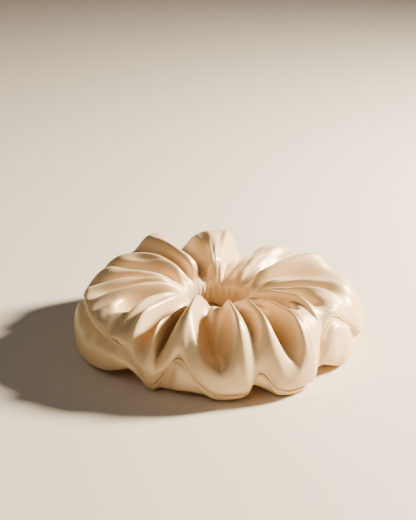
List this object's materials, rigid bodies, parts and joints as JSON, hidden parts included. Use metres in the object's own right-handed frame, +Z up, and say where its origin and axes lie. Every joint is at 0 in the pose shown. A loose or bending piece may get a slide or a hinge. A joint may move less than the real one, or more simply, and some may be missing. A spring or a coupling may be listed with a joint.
{
  "type": "scrunchie",
  "caption": "Gathered satin hair scrunchie: a puffed fabric sleeve with an outer-edge seam, drawn up on a lapped elastic ring that stretches round a ponytail.",
  "frame": {"origin": "on the surface that the scrunchie rests on, under the centre of the ring", "axes": "+Z up along the ring's axis; +Y towards the side that is pulled, where the closing seam is; -Y towards the held side, which faces the viewer"},
  "size_m": [0.1097, 0.108, 0.033],
  "materials": {
    "satin": "champagne satin weave with a soft sheen",
    "elastic_cover": "braided polyester, matte",
    "rubber_threads": "cut natural rubber",
    "sewing_thread": "spun polyester thread"
  },
  "bodies": {
    "held_side": {"satin_sleeve_held": "satin", "elastic_cover_held": "elastic_cover", "rubber_threads_held": "rubber_threads", "seam_needle_thread_held": "sewing_thread", "seam_bobbin_thread_held": "sewing_thread"},
    "pulled_side": {"satin_sleeve_pulled": "satin", "elastic_cover_pulled": "elastic_cover", "rubber_threads_pulled": "rubber_threads", "seam_needle_thread_pulled": "sewing_thread", "seam_bobbin_thread_pulled": "sewing_thread", "elastic_lap_stitching": "sewing_thread", "closing_seam_thread": "sewing_thread"}
  },
  "joints": [
    {"name": "stretch", "type": "slide", "parent": "held_side", "child": "pulled_side", "axis": [0, 1, 0], "range_m": [0, 0.05], "stiffness_N_per_m": 100}
  ]
}
